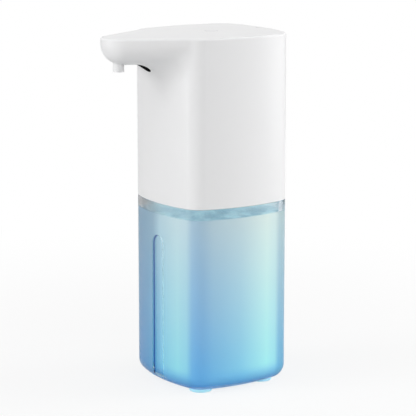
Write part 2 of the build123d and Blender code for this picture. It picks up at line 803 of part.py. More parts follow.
def tube_strainer():
    """Slotted foot that keeps the tube's end off the tank floor."""
    x, y = mesh_x, pump_y + port_offset
    bottom = foot_height + tank_floor + 2 * fit_gap
    top = bottom + strainer_height
    foot = rod(x, y, strainer_radius, bottom, top)
    foot -= rod(x, y, tube_bore_radius + tube_wall + running_gap, bottom - over, top + over)
    for k in range(strainer_slots):
        slot = block((0, 2 * strainer_radius), (-strainer_slot_width / 2, strainer_slot_width / 2),
                     (bottom - over, bottom + strainer_slot_height))
        foot -= Pos(x, y) * Rot(0, 0, 360 / strainer_slots * k) * slot
    return foot


def outlet_hose():
    """Soft hose from the pump's front barb up the head and along the spout to the nozzle."""
    middle = (chamber_bottom + chamber_top) / 2
    start = barb_plane(nozzle_flange_radius + seat_gap).origin
    turn_y = nozzle_y - mesh_x / tan(radians(barb_turn))
    route = FilletPolyline(
        start,
        (mesh_x, turn_y, hose_height),
        (mesh_x, hose_y, hose_height),
        (mesh_x, hose_y, middle),
        (mesh_x, pump_front - seat_gap, middle),
        radius=hose_bend_radius,
    )
    ring = Circle(tube_bore_radius + tube_wall) - Circle(tube_bore_radius)
    return sweep(barb_plane(nozzle_flange_radius + seat_gap) * ring, path=route)


def battery_cell():
    cell = rod(battery_x, battery_y, battery_radius, battery_bottom, battery_top)
    return cell + rod(battery_x, battery_y, button_radius, battery_top, battery_top + button_height)


def battery_holder():
    bottom = tray_inside + seat_gap
    inner = battery_radius + seat_gap
    cup = rod(battery_x, battery_y, inner + holder_wall, bottom, bottom + holder_height)
    return cup - rod(battery_x, battery_y, inner, bottom + holder_wall, bottom + holder_height + over)


def main_board():
    half = board_width / 2
    board = block((-half, half), (board_front, board_back), (board_bottom, board_top))
    for x in (-board_screw_x, board_screw_x):
        board -= rod_along_y(x, board_screw_z, screw_radius + seat_gap, board_front - over, board_back + over)
    return board


def lead(start, turn, board_x, board_z):
    """Round wire from a start past one bend to the front of the main board, cut flush with it."""
    end = Vector(board_x, board_front + lead_radius, board_z)
    route = FilletPolyline(start, turn, end, radius=lead_bend)
    wire = sweep(Plane(origin=start, z_dir=turn - start) * Circle(lead_radius), path=route)
    return wire - block((-body_half, body_half), (board_front - running_gap, body_half), (0, total_height))


def motor_leads():
    """Two wires from the motor's terminals back to the main board."""
    bottom = motor_top + terminal_size[2] + running_gap
    wires = []
    for side in (-1, 1):
        start = Vector(drive_x + side * terminal_spread, pump_y, bottom)
        turn = start + Vector(0, 0, lead_rise)
        wires.append(lead(start, turn, mesh_x + side * lead_pitch / 2, turn.Z))
    return wires


def battery_leads():
    """Two wires from the cell's button and its shoulder back to the main board."""
    shoulder = (battery_radius + button_radius) / 2
    level = battery_top + button_height + lead_rise
    starts = [(battery_x, battery_top + button_height), (battery_x + shoulder, battery_top)]
    wires = []
    for k, (x, bottom) in enumerate(starts):
        start = Vector(x, battery_y, bottom + running_gap)
        wires.append(lead(start, Vector(x, battery_y, level), board_screw_x + (k - 1) * lead_pitch, level))
    return wires


def sensor_lead():
    back = window_thickness + sensor_holder_depth + sensor_board_thickness + 2 * running_gap
    return lead(blend_plane(back).origin, blend_plane(back + lead_rise).origin, 0, board_top - lead_pitch)


def touch_lead():
    start = Vector(key_board_radius / 2, 0, key_board_bottom - running_gap)
    return lead(start, start - Vector(0, 0, lead_rise), start.X, board_top - 2 * lead_pitch)


def charge_socket():
    """Upright charging socket: a thin rounded tube, shut behind, with a flat tongue inside."""
    mouth = body_half - plug_thickness - 2 * fit_gap
    tube = slot_along_y(socket_width, socket_height, socket_z, board_back, mouth)
    tube -= slot_along_y(socket_width - 2 * socket_wall, socket_height - 2 * socket_wall, socket_z,
                         board_back + socket_wall, mouth + over)
    tongue = block((-socket_tongue_width / 2, socket_tongue_width / 2),
                   (board_back, mouth - socket_tongue_setback),
                   (socket_z - socket_tongue_thickness / 2, socket_z + socket_tongue_thickness / 2))
    return tube + tongue


def charge_plug():
    """Soft cover over the charging socket, flush with the bowed back."""
    floor = body_half - plug_thickness
    flange = slot_along_y(plug_width, plug_height, socket_z, floor, body_half + over) \
        & body_prism(0, socket_z - plug_height, socket_z + plug_height)
    mouth = floor - 2 * fit_gap
    shrink = 2 * (socket_wall + fit_gap)
    stub = slot_along_y(socket_width - shrink, socket_height - shrink, socket_z,
                        mouth - plug_stub, floor + plug_thickness / 2)
    return flange + stub


def build():
    form = head_form()
    return {
        "tank_bottle": tank_bottle(),
        "tank_feet": tank_feet(),
        "head_housing": head_housing(form),
        "sensor_window": sensor_window(form),
        "sensor_holder": sensor_holder(form),
        "ir_emitter": sensor_eye(sensor_eye_spacing / 2),
        "ir_receiver": sensor_eye(-sensor_eye_spacing / 2),
        "sensor_board": sensor_board(),
        "nozzle": nozzle(),
        "drip_valve": drip_valve(),
        "touch_key": touch_key(),
        "touch_board": touch_board(),
        "charge_light": charge_light(),
        "chassis": chassis(),
        "chassis_screws": chassis_screws(),
        "tank_gasket": tank_gasket(),
        "vent_valve": vent_valve(),
        "pump_body": pump_body(),
        "pump_gasket": pump_gasket(),
        "pump_cover": pump_cover(),
        "pump_screws": pump_screws(),
        "drive_gear": drive_gear(),
        "driven_gear": driven_gear(),
        "driven_pin": driven_pin(),
        "shaft_seal": shaft_seal(),
        "motor_can": motor_can(),
        "motor_cap": motor_cap(),
        "motor_terminals": motor_terminals(),
        "motor_shaft": motor_shaft(),
        "dip_tube": dip_tube(),
        "tube_strainer": tube_strainer(),
        "outlet_hose": outlet_hose(),
        "battery_cell": battery_cell(),
        "battery_holder": battery_holder(),
        "main_board": main_board(),
        "motor_leads": motor_leads(),
        "battery_leads": battery_leads(),
        "sensor_lead": sensor_lead(),
        "touch_lead": touch_lead(),
        "board_screws": board_screws(),
        "charge_socket": charge_socket(),
        "charge_plug": charge_plug(),
    }


os.makedirs("parts", exist_ok=True)
for name, shape in build().items():
    solids = shape if isinstance(shape, list) else shape.solids()
    placed = [Pos(0, body_axis_y) * solid for solid in solids]
    whole = placed[0] if len(placed) == 1 else Compound(children=placed)
    export_step(whole, f"parts/{name}.step")
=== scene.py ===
import bpy
import math
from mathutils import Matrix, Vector


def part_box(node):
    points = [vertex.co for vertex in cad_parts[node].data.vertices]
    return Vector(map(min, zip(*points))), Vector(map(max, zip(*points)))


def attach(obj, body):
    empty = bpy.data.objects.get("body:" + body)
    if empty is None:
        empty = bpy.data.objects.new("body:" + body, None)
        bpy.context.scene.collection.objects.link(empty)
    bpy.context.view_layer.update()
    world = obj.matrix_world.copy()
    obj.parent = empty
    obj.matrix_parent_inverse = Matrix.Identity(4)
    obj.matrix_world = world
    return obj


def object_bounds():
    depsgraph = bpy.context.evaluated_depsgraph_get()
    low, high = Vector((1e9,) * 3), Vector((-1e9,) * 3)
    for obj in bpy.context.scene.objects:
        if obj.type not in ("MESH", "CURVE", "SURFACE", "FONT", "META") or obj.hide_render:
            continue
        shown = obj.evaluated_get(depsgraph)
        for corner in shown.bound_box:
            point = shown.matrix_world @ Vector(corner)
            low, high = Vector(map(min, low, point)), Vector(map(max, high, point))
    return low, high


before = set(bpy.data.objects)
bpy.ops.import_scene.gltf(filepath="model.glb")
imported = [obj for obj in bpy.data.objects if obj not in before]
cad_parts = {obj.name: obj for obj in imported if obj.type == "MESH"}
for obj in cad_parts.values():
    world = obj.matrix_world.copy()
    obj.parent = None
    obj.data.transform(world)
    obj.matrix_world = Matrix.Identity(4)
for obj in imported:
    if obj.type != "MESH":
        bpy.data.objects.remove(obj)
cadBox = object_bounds()
print("frame loaded:", len(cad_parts), "nodes")

tankLow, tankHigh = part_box("tank_bottle")
bodyAxis = Vector(((tankLow.x + tankHigh.x) / 2, (tankLow.y + tankHigh.y) / 2, 0))  # the upright axis
bodyHalf = (tankHigh.x - tankLow.x) / 2
bodyMiddle = Vector((bodyAxis.x, bodyAxis.y, cadBox[1].z / 2))


# selecting and placing

def deselectAll():
    if bpy.context.object and bpy.context.object.mode != "OBJECT":
        bpy.ops.object.mode_set(mode="OBJECT")
    bpy.ops.object.select_all(action="DESELECT")


def makeActive(obj):
    deselectAll()
    obj.select_set(True)
    bpy.context.view_layer.objects.active = obj


def settlePlace(obj):  # place and size go into the mesh, the object stays at the origin
    makeActive(obj)
    bpy.ops.object.transform_apply(location=True, rotation=True, scale=True)


def dress(nodeName, mat, smoothAngle=32):
    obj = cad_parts[nodeName]
    obj.data.materials.clear()
    obj.data.materials.append(mat)
    makeActive(obj)
    bpy.ops.object.shade_smooth_by_angle(angle=math.radians(smoothAngle))


# building material nodes

def nodeMaterial(name):
    mat = bpy.data.materials.new(name)
    mat.use_nodes = True
    tree = mat.node_tree
    return mat, tree, tree.nodes["Principled BSDF"]


def addNode(tree, kind, **values):
    node = tree.nodes.new(kind)
    for key, value in values.items():
        setattr(node, key, value)
    return node


def addMath(tree, operation, second=None, **values):  # the second number is left out where a link gives it
    node = addNode(tree, "ShaderNodeMath", operation=operation, **values)
    if second is not None:
        node.inputs[1].default_value = second
    return node


def addRange(tree, start, end, shape="SMOOTHSTEP"):  # from 0 at the start to 1 at the end
    node = addNode(tree, "ShaderNodeMapRange", interpolation_type=shape)
    node.inputs["From Min"].default_value = start
    node.inputs["From Max"].default_value = end
    return node


def addMix(tree, first=None, second=None):  # a colour is left out where a link gives it
    node = addNode(tree, "ShaderNodeMix", data_type="RGBA")
    if first:
        node.inputs["A"].default_value = (*first, 1)
    if second:
        node.inputs["B"].default_value = (*second, 1)
    return node


def addRamp(tree, stops):  # each stop is a place and a colour, from left to right
    node = addNode(tree, "ShaderNodeValToRGB")
    elements = node.color_ramp.elements
    elements[0].position, elements[0].color = stops[0][0], (*stops[0][1], 1)
    elements[1].position, elements[1].color = stops[-1][0], (*stops[-1][1], 1)
    for place, colour in stops[1:-1]:
        elements.new(place).color = (*colour, 1)
    return node


def addNoise(tree, detail, scale=None):  # the scale is left out where a link gives it
    node = addNode(tree, "ShaderNodeTexNoise")
    node.inputs["Detail"].default_value = detail
    if scale is not None:
        node.inputs["Scale"].default_value = scale
    return node


# moulded grain, shared by all solid finishes

grainLook = dict(driftScale=22, driftDetail=3, sparkDetail=2, sparkHeight=0.00025)


def mouldedGrainGroup():
    group = bpy.data.node_groups.new("mouldedGrain", "ShaderNodeTree")
    for name, kind in (("Vector", "NodeSocketVector"), ("Color", "NodeSocketColor"),
                       ("Tone Change", "NodeSocketFloat"), ("Roughness", "NodeSocketFloat"),
                       ("Roughness Change", "NodeSocketFloat"), ("Grain Scale", "NodeSocketFloat"),
                       ("Grain Depth", "NodeSocketFloat")):
        group.interface.new_socket(name, in_out="INPUT", socket_type=kind)
    for name, kind in (("Color", "NodeSocketColor"), ("Roughness", "NodeSocketFloat"),
                       ("Normal", "NodeSocketVector")):
        group.interface.new_socket(name, in_out="OUTPUT", socket_type=kind)
    source = addNode(group, "NodeGroupInput")
    result = addNode(group, "NodeGroupOutput")
    drift = addNoise(group, grainLook["driftDetail"], grainLook["driftScale"])  # drifts in tone and gloss
    spark = addNoise(group, grainLook["sparkDetail"])  # spark texture of the mould
    centred = addMath(group, "SUBTRACT", 0.5)
    toneStep = addMath(group, "MULTIPLY")
    tone = addMath(group, "ADD", 1)
    toned = addNode(group, "ShaderNodeVectorMath", operation="SCALE")
    roughStep = addMath(group, "MULTIPLY")
    rough = addMath(group, "ADD", use_clamp=True)
    bump = addNode(group, "ShaderNodeBump")
    bump.inputs["Distance"].default_value = grainLook["sparkHeight"]
    link = group.links.new
    link(source.outputs["Vector"], drift.inputs["Vector"])
    link(drift.outputs["Fac"], centred.inputs[0])
    link(centred.outputs[0], toneStep.inputs[0])
    link(source.outputs["Tone Change"], toneStep.inputs[1])
    link(toneStep.outputs[0], tone.inputs[0])
    link(source.outputs["Color"], toned.inputs[0])
    link(tone.outputs[0], toned.inputs["Scale"])
    link(toned.outputs[0], result.inputs["Color"])
    link(centred.outputs[0], roughStep.inputs[0])
    link(source.outputs["Roughness Change"], roughStep.inputs[1])
    link(roughStep.outputs[0], rough.inputs[0])
    link(source.outputs["Roughness"], rough.inputs[1])
    link(rough.outputs[0], result.inputs["Roughness"])
    link(source.outputs["Vector"], spark.inputs["Vector"])
    link(source.outputs["Grain Scale"], spark.inputs["Scale"])
    link(spark.outputs["Fac"], bump.inputs["Height"])
    link(source.outputs["Grain Depth"], bump.inputs["Strength"])
    link(bump.outputs["Normal"], result.inputs["Normal"])
    return group


grainGroup = mouldedGrainGroup()
plainLook = dict(toneChange=0.03, roughnessChange=0.06, grainScale=2600, grainDepth=0.04, metallic=0.0,
                 ior=1.48, specular=0.5, coat=0.0, coatRoughness=0.1, glow=0.0, glowDepth=0.002, clear=0.0)
grainSockets = dict(toneChange="Tone Change", roughness="Roughness", roughnessChange="Roughness Change",
                    grainScale="Grain Scale", grainDepth="Grain Depth")
shaderSockets = dict(metallic="Metallic", ior="IOR", specular="Specular IOR Level", coat="Coat Weight",
                     coatRoughness="Coat Roughness", glow="Subsurface Weight", glowDepth="Subsurface Scale",
                     clear="Transmission Weight")


def grainedMaterial(name, changes):  # a finish says only where it differs from the plain look
    look = {**plainLook, **changes}
    mat, tree, shader = nodeMaterial(name)
    where = addNode(tree, "ShaderNodeTexCoord")
    grain = addNode(tree, "ShaderNodeGroup", node_tree=grainGroup, name="grain")
    grain.inputs["Color"].default_value = (*look["colour"], 1)
    for key, socket in grainSockets.items():
        grain.inputs[socket].default_value = look[key]
    for key, socket in shaderSockets.items():
        shader.inputs[socket].default_value = look[key]
    link = tree.links.new
    link(where.outputs["Object"], grain.inputs["Vector"])
    link(grain.outputs["Color"], shader.inputs["Base Color"])
    link(grain.outputs["Roughness"], shader.inputs["Roughness"])
    link(grain.outputs["Normal"], shader.inputs["Normal"])
    if "paintedShine" in look:  # painted glow, standing in for daylight held inside a soft, half-clear piece
        link(grain.outputs["Color"], shader.inputs["Emission Color"])
        shader.inputs["Emission Strength"].default_value = look["paintedShine"]
    return mat


# plain finishes of the solid pieces

finishes = {
    "whiteShell": dict(colour=(0.80, 0.80, 0.805), roughness=0.30, specular=0.25, toneChange=0.012,
                       grainDepth=0.02),
    "whiteInner": dict(colour=(0.74, 0.745, 0.75), roughness=0.42, grainDepth=0.06),
    "nozzleWhite": dict(colour=(0.78, 0.78, 0.785), roughness=0.26, specular=0.35, toneChange=0.02,
                        grainDepth=0.02),
    "sensorBlack": dict(colour=(0.006, 0.006, 0.007), roughness=0.22, specular=0.0, toneChange=0.1,
                        grainDepth=0.0),
    "blackMoulding": dict(colour=(0.022, 0.022, 0.024), roughness=0.5, toneChange=0.15, grainDepth=0.2),
    "smokyResin": dict(colour=(0.035, 0.022, 0.05), roughness=0.06, clear=0.35, grainDepth=0.0),
    "boardGreen": dict(colour=(0.012, 0.11, 0.045), roughness=0.36, toneChange=0.3, grainScale=900,
                       grainDepth=0.15, coat=0.3),
    "milkySilicone": dict(colour=(0.66, 0.68, 0.68), roughness=0.45, glow=0.35, toneChange=0.05),
    "acetal": dict(colour=(0.62, 0.62, 0.58), roughness=0.4, glow=0.15, toneChange=0.05),
    "zincSteel": dict(colour=(0.56, 0.57, 0.58), roughness=0.3, metallic=1.0, toneChange=0.12,
                      roughnessChange=0.2, grainScale=1400, grainDepth=0.05),
    "groundSteel": dict(colour=(0.64, 0.64, 0.65), roughness=0.2, metallic=1.0, toneChange=0.06),
    "tinnedBrass": dict(colour=(0.66, 0.52, 0.26), roughness=0.28, metallic=1.0, toneChange=0.1),
    "sealRubber": dict(colour=(0.018, 0.018, 0.018), roughness=0.62, toneChange=0.2, grainDepth=0.3),
    "cellWrap": dict(colour=(0.03, 0.10, 0.32), roughness=0.24, toneChange=0.08, coat=0.3),
    "redLead": dict(colour=(0.42, 0.016, 0.014), roughness=0.4, toneChange=0.1, grainDepth=0.08),
    "blackLead": dict(colour=(0.014, 0.014, 0.015), roughness=0.4, toneChange=0.2, grainDepth=0.08),
    "plugSilicone": dict(colour=(0.72, 0.725, 0.73), roughness=0.5, glow=0.2, grainDepth=0.1),
}
finishOf = {
    "head_housing": "whiteShell", "nozzle": "nozzleWhite", "tube_strainer": "nozzleWhite",
    "chassis": "whiteInner", "sensor_window": "sensorBlack", "sensor_holder": "blackMoulding",
    "motor_cap": "blackMoulding", "battery_holder": "blackMoulding", "ir_emitter": "smokyResin",
    "ir_receiver": "smokyResin", "sensor_board": "boardGreen", "touch_board": "boardGreen",
    "main_board": "boardGreen", "drip_valve": "milkySilicone", "tank_gasket": "milkySilicone",
    "pump_gasket": "milkySilicone", "dip_tube": "milkySilicone", "outlet_hose": "milkySilicone",
    "pump_body": "acetal", "pump_cover": "acetal", "drive_gear": "acetal", "driven_gear": "acetal",
    "chassis_screws": "zincSteel", "pump_screws": "zincSteel", "board_screws": "zincSteel",
    "motor_can": "zincSteel", "charge_socket": "zincSteel", "driven_pin": "groundSteel",
    "motor_shaft": "groundSteel", "motor_terminals": "tinnedBrass", "shaft_seal": "sealRubber",
    "battery_cell": "cellWrap", "charge_plug": "plugSilicone", "vent_valve": "milkySilicone",
    "motor_leads": "redLead", "battery_leads": "redLead", "sensor_lead": "blackLead",
    "touch_lead": "blackLead",
}
made = {name: grainedMaterial(name, look) for name, look in finishes.items()}
for nodeName, finish in finishOf.items():
    dress(nodeName, made[finish])
print("plain finishes:", len(made))


# round key and charge light in the top

keyLook = dict(colour=(0.78, 0.78, 0.79), ringColour=(0.60, 0.61, 0.63), ringInside=0.0030,
               ringOutside=0.0036, roughness=0.34, ior=1.5, specular=0.25, toneChange=0.02, grainDepth=0.02)
lightLook = dict(colour=(0.60, 0.61, 0.62), roughness=0.3, glow=0.3, toneChange=0.05)


def touchKeyMaterial():
    mat = grainedMaterial("keyLens", keyLook)
    tree = mat.node_tree
    where = addNode(tree, "ShaderNodeTexCoord")
    centre = addNode(tree, "ShaderNodeMapping")
    centre.inputs["Location"].default_value = (-bodyAxis.x, -bodyAxis.y, 0)
    flat = addNode(tree, "ShaderNodeVectorMath", operation="MULTIPLY")
    flat.inputs[1].default_value = (1, 1, 0)
    distance = addNode(tree, "ShaderNodeVectorMath", operation="LENGTH")
    ring = addRange(tree, keyLook["ringInside"], keyLook["ringOutside"])
    colour = addMix(tree, keyLook["colour"], keyLook["ringColour"])
    link = tree.links.new
    link(where.outputs["Object"], centre.inputs["Vector"])
    link(centre.outputs[0], flat.inputs[0])
    link(flat.outputs[0], distance.inputs[0])
    link(distance.outputs["Value"], ring.inputs["Value"])
    link(ring.outputs[0], colour.inputs["Factor"])
    link(colour.outputs["Result"], tree.nodes["grain"].inputs["Color"])
    return mat


dress("touch_key", touchKeyMaterial())
dress("charge_light", grainedMaterial("lightPipe", lightLook))
print("key and light dressed")


# clear tank wall and soft feet

wallLook = dict(tint=(0.93, 0.975, 0.985), roughness=0.04, ior=1.5, floorPaintedBlue=(0.05, 0.30, 0.80),
                floorTop=0.0075, grooveShadeColour=(0.085, 0.085, 0.36), grooveHalf=0.0052, grooveTop=0.0843,
                edgeWidth=0.0003, lineDepth=0.0017, lineHalf=0.0008, lineEnd=0.001,
                airBandShades=((0.0, (0.46, 0.46, 0.47)), (0.2, (0.78, 0.88, 0.90)),
                             (0.92, (0.78, 0.88, 0.90)), (0.96, (0.56, 0.66, 0.72))),
                airBandBottom=0.0959, airBandTop=0.0963, airBandWay=(0.55, 0.84, 0), airBandReach=0.040,
                airBandRoughness=0.20)
# the pads carry a painted glow that brightens them in the shade under the tank
padLook = dict(colour=(0.40, 0.72, 0.84), roughness=0.4, glow=0.5, paintedShine=0.22, toneChange=0.04,
               grainDepth=0.05)


def addGrooveLine(tree, split):  # painted shade: a thin dark line down the side of the groove that is turned from the light
    aside = addMath(tree, "SUBTRACT", bodyAxis.x)
    aboveEnd = addMath(tree, "SUBTRACT", wallLook["grooveTop"] - wallLook["grooveHalf"])
    endPart = addMath(tree, "MAXIMUM", 0)
    flat = addNode(tree, "ShaderNodeCombineXYZ")
    distance = addNode(tree, "ShaderNodeVectorMath", operation="LENGTH")  # from the groove's centre line
    onSide = addMath(tree, "COMPARE", wallLook["grooveHalf"])
    onSide.inputs[2].default_value = wallLook["edgeWidth"]
    atDepth = addMath(tree, "COMPARE", tankLow.y + wallLook["lineDepth"])
    atDepth.inputs[2].default_value = wallLook["lineHalf"]
    shaded = addMath(tree, "LESS_THAN", wallLook["lineEnd"])
    bothSides = addMath(tree, "MULTIPLY")
    line = addMath(tree, "MULTIPLY")
    link = tree.links.new
    link(split.outputs["X"], aside.inputs[0])
    link(split.outputs["Z"], aboveEnd.inputs[0])
    link(aboveEnd.outputs[0], endPart.inputs[0])
    link(aside.outputs[0], flat.inputs["X"])
    link(endPart.outputs[0], flat.inputs["Z"])
    link(flat.outputs[0], distance.inputs[0])
    link(distance.outputs["Value"], onSide.inputs[0])
    link(split.outputs["Y"], atDepth.inputs[0])
    link(aside.outputs[0], shaded.inputs[0])
    link(onSide.outputs[0], bothSides.inputs[0])
    link(atDepth.outputs[0], bothSides.inputs[1])
    link(bothSides.outputs[0], line.inputs[0])
    link(shaded.outputs[0], line.inputs[1])
    return line


def addAirBandShade(tree, where):  # painted shade on the band of clear wall above the soap, greyer at its two ends
    along = addNode(tree, "ShaderNodeVectorMath", operation="DOT_PRODUCT")
    along.inputs[1].default_value = wallLook["airBandWay"]
    axisAlong = bodyAxis.dot(Vector(wallLook["airBandWay"]))
    across = addRange(tree, axisAlong - wallLook["airBandReach"], axisAlong + wallLook["airBandReach"], "LINEAR")
    airBandShade = addRamp(tree, wallLook["airBandShades"])
    airBandShade.color_ramp.interpolation = "EASE"
    link = tree.links.new
    link(where.outputs["Object"], along.inputs[0])
    link(along.outputs["Value"], across.inputs["Value"])
    link(across.outputs[0], airBandShade.inputs["Fac"])
    return airBandShade


def letLightThrough(tree, shader):  # light passes the wall, so that the soap behind it is lit
    path = addNode(tree, "ShaderNodeLightPath")
    passes = addMath(tree, "MAXIMUM")
    through = addNode(tree, "ShaderNodeBsdfTransparent")
    through.inputs["Color"].default_value = (*wallLook["tint"], 1)
    mixed = addNode(tree, "ShaderNodeMixShader")
    link = tree.links.new
    link(path.outputs["Is Shadow Ray"], passes.inputs[0])
    link(path.outputs["Is Diffuse Ray"], passes.inputs[1])
    link(passes.outputs[0], mixed.inputs["Fac"])
    link(shader.outputs[0], mixed.inputs[1])
    link(through.outputs[0], mixed.inputs[2])
    link(mixed.outputs[0], tree.nodes["Material Output"].inputs["Surface"])


def clearWallMaterial():
    mat, tree, shader = nodeMaterial("clearWall")
    where = addNode(tree, "ShaderNodeTexCoord")
    split = addNode(tree, "ShaderNodeSeparateXYZ")
    # painted light: the clear floor takes the soap's blue, for the soap's light carried in the thick floor
    floorPart = addRange(tree, wallLook["floorTop"], tankLow.z)
    lowColour = addMix(tree, wallLook["tint"], wallLook["floorPaintedBlue"])
    # painted shade on the band of clear wall above the soap
    airBandPart = addRange(tree, wallLook["airBandBottom"], wallLook["airBandTop"])
    airBandShade = addAirBandShade(tree, where)
    airBanded = addMix(tree)
    # painted shade down one side of the groove
    grooveLine = addGrooveLine(tree, split)
    colour = addMix(tree, second=wallLook["grooveShadeColour"])
    dulled = addRange(tree, 0, 1, "LINEAR")
    dulled.inputs["To Min"].default_value = wallLook["roughness"]
    dulled.inputs["To Max"].default_value = wallLook["airBandRoughness"]
    shader.inputs["IOR"].default_value = wallLook["ior"]
    shader.inputs["Transmission Weight"].default_value = 1
    link = tree.links.new
    link(where.outputs["Object"], split.inputs[0])
    link(split.outputs["Z"], floorPart.inputs["Value"])
    link(floorPart.outputs[0], lowColour.inputs["Factor"])
    link(split.outputs["Z"], airBandPart.inputs["Value"])
    link(airBandPart.outputs[0], airBanded.inputs["Factor"])
    link(lowColour.outputs["Result"], airBanded.inputs["A"])
    link(airBandShade.outputs["Color"], airBanded.inputs["B"])
    link(grooveLine.outputs[0], colour.inputs["Factor"])
    link(airBanded.outputs["Result"], colour.inputs["A"])
    link(colour.outputs["Result"], shader.inputs["Base Color"])
    link(airBandPart.outputs[0], dulled.inputs["Value"])
    link(dulled.outputs[0], shader.inputs["Roughness"])
    letLightThrough(tree, shader)
    return mat


dress("tank_bottle", clearWallMaterial())
dress("tank_feet", grainedMaterial("softPad", padLook))
print("tank dressed")


# liquid soap, filled to just under the seam

soap = dict(points=240, inset=0.00365, floor=0.0034, level=0.0960, edgeRadius=0.0045, edgeSteps=6,
            sideBow=0.0070, cornerRadius=0.0110, rings=14, ripple=0.00030, calmPower=6, smoothAngle=40,
            levelSlack=0.0001,
            waves=((1.0, 310, 140, 0.0), (0.7, -190, 470, 1.3), (0.5, 690, 520, 2.1)))  # size, x, y, start


def planReach(angle, inset):  # distance from the axis to the bowed square, along an angle
    sideRadius = (bodyHalf**2 + soap["sideBow"]**2) / (2 * soap["sideBow"])
    sideCentre = bodyHalf - sideRadius
    toCorner = sideRadius - soap["cornerRadius"]
    cornerCentre = (sideCentre + math.sqrt(2 * toCorner**2 - sideCentre**2)) / 2
    turn = math.atan2(cornerCentre, cornerCentre - sideCentre)
    joinReach = sideRadius - inset
    join = math.atan2(joinReach * math.sin(turn), sideCentre + joinReach * math.cos(turn))
    folded = (angle + math.pi / 4) % (math.pi / 2) - math.pi / 4
    way = Vector((math.cos(folded), abs(math.sin(folded))))
    if abs(folded) < join:
        centre, radius = Vector((sideCentre, 0)), joinReach
    else:
        centre, radius = Vector((cornerCentre, cornerCentre)), soap["cornerRadius"] - inset
    along = centre.dot(way)
    return along + math.sqrt(along**2 - centre.length_squared + radius**2)


def fitToPlan(obj, inset, share=1.0):  # selected points move out or in to the tank's own plan
    bpy.ops.object.mode_set(mode="OBJECT")
    for point in obj.data.vertices:
        if point.select:
            angle = math.atan2(point.co.y, point.co.x)
            reach = planReach(angle, inset) * share
            point.co.x, point.co.y = reach * math.cos(angle), reach * math.sin(angle)
    bpy.ops.object.mode_set(mode="EDIT")


def liftTop(rise):
    bpy.ops.mesh.extrude_region_move(TRANSFORM_OT_translate={"value": (0, 0, rise)})


def rippleSurface(obj):
    for point in obj.data.vertices:
        if point.co.z > soap["level"] - soap["levelSlack"]:
            x, y = point.co.x, point.co.y
            wave = sum(size * math.sin(alongX * x + alongY * y + start)
                       for size, alongX, alongY, start in soap["waves"])
            share = min(math.hypot(x, y) / planReach(math.atan2(y, x), soap["inset"]), 1)
            point.co.z += soap["ripple"] * wave * (1 - share**soap["calmPower"])  # flat at the wall


def makeSoap():
    deselectAll()
    bottom = tankLow.z + soap["floor"]
    bpy.ops.mesh.primitive_circle_add(vertices=soap["points"], radius=bodyHalf, fill_type="NGON",
                                      location=(bodyAxis.x, bodyAxis.y, 0))
    obj = bpy.context.object
    obj.name = "soap"
    bpy.ops.object.mode_set(mode="EDIT")
    bpy.ops.mesh.select_all(action="SELECT")
    fitToPlan(obj, soap["inset"] + soap["edgeRadius"])
    bpy.ops.transform.translate(value=(0, 0, bottom))
    lastHeight = bottom
    for step in range(1, soap["edgeSteps"] + 1):  # rounded floor edge
        turn = math.pi / 2 * step / soap["edgeSteps"]
        height = bottom + soap["edgeRadius"] * (1 - math.cos(turn))
        liftTop(height - lastHeight)
        fitToPlan(obj, soap["inset"] + soap["edgeRadius"] * (1 - math.sin(turn)))
        lastHeight = height
    liftTop(soap["level"] - lastHeight)
    for ring in range(1, soap["rings"]):  # rings over the surface carry the ripples
        liftTop(0)
        fitToPlan(obj, soap["inset"], 1 - ring / soap["rings"])
    bpy.ops.mesh.poke()
    bpy.ops.object.mode_set(mode="OBJECT")
    rippleSurface(obj)
    settlePlace(obj)
    bpy.ops.object.mode_set(mode="EDIT")
    bpy.ops.mesh.select_all(action="SELECT")
    bpy.ops.mesh.quads_convert_to_tris()
    bpy.ops.mesh.normals_make_consistent(inside=False)
    bpy.ops.object.mode_set(mode="OBJECT")
    bpy.ops.object.shade_smooth_by_angle(angle=math.radians(soap["smoothAngle"]))
    return obj


soapLook = dict(topShaded=(0.33, 0.435, 0.50), topLit=(0.54, 0.62, 0.59), topHeight=0.094,
                lowShaded=(0.074, 0.335, 0.62), lowLit=(0.26, 0.66, 0.68), lowHeight=0.004, rimTop=0.014,
                surfaceShadeColour=(0.20, 0.33, 0.41), surfaceStreakLight=(0.36, 0.52, 0.57), surfaceSlope=(0.3, 0.8),
                paintedGlow=0.35, surfacePaintedGlow=0.72, roughness=0.22, ior=1.34,
                cloudScale=26, cloudDetail=3, cloudDepth=0.10,
                streakScale=150, streakDetail=2, streakSpan=(0.36, 0.64),
                sideLitShare=((0.0, 0.04), (0.06, 0.0), (0.45, 0.40), (0.80, 1.0), (0.91, 0.76), (0.96, 0.14),
                          (1.0, 0.04)),
                shade=((0.0, (0.8, 0.8, 0.8)), (0.125, (0.38, 0.54, 0.67)), (0.215, (0.53, 0.64, 0.75)),
                       (0.25, (0.78, 0.88, 0.96)), (0.333, (0.77, 0.85, 0.95)), (0.38, (0.83, 0.89, 0.97)),
                       (0.41, (1, 1, 1)), (0.60, (1, 1, 1)), (0.625, (0.92, 0.91, 0.82)),
                       (0.75, (0.85, 0.9, 1)), (1.0, (0.8, 0.8, 0.8))))


def addSideLightBands(tree, angle):  # painted light and shade: every side runs from a shaded deep blue to a lit, lighter blue
    quarter = math.pi / 2
    shifted = addMath(tree, "ADD", quarter / 2 + 2 * math.pi)
    sector = addMath(tree, "MODULO", quarter)
    across = addMath(tree, "DIVIDE", quarter)
    litShare = addRamp(tree, [(place, (share, share, share)) for place, share in soapLook["sideLitShare"]])
    link = tree.links.new
    link(angle.outputs[0], shifted.inputs[0])
    link(shifted.outputs[0], sector.inputs[0])
    link(sector.outputs[0], across.inputs[0])
    link(across.outputs[0], litShare.inputs["Fac"])
    return litShare


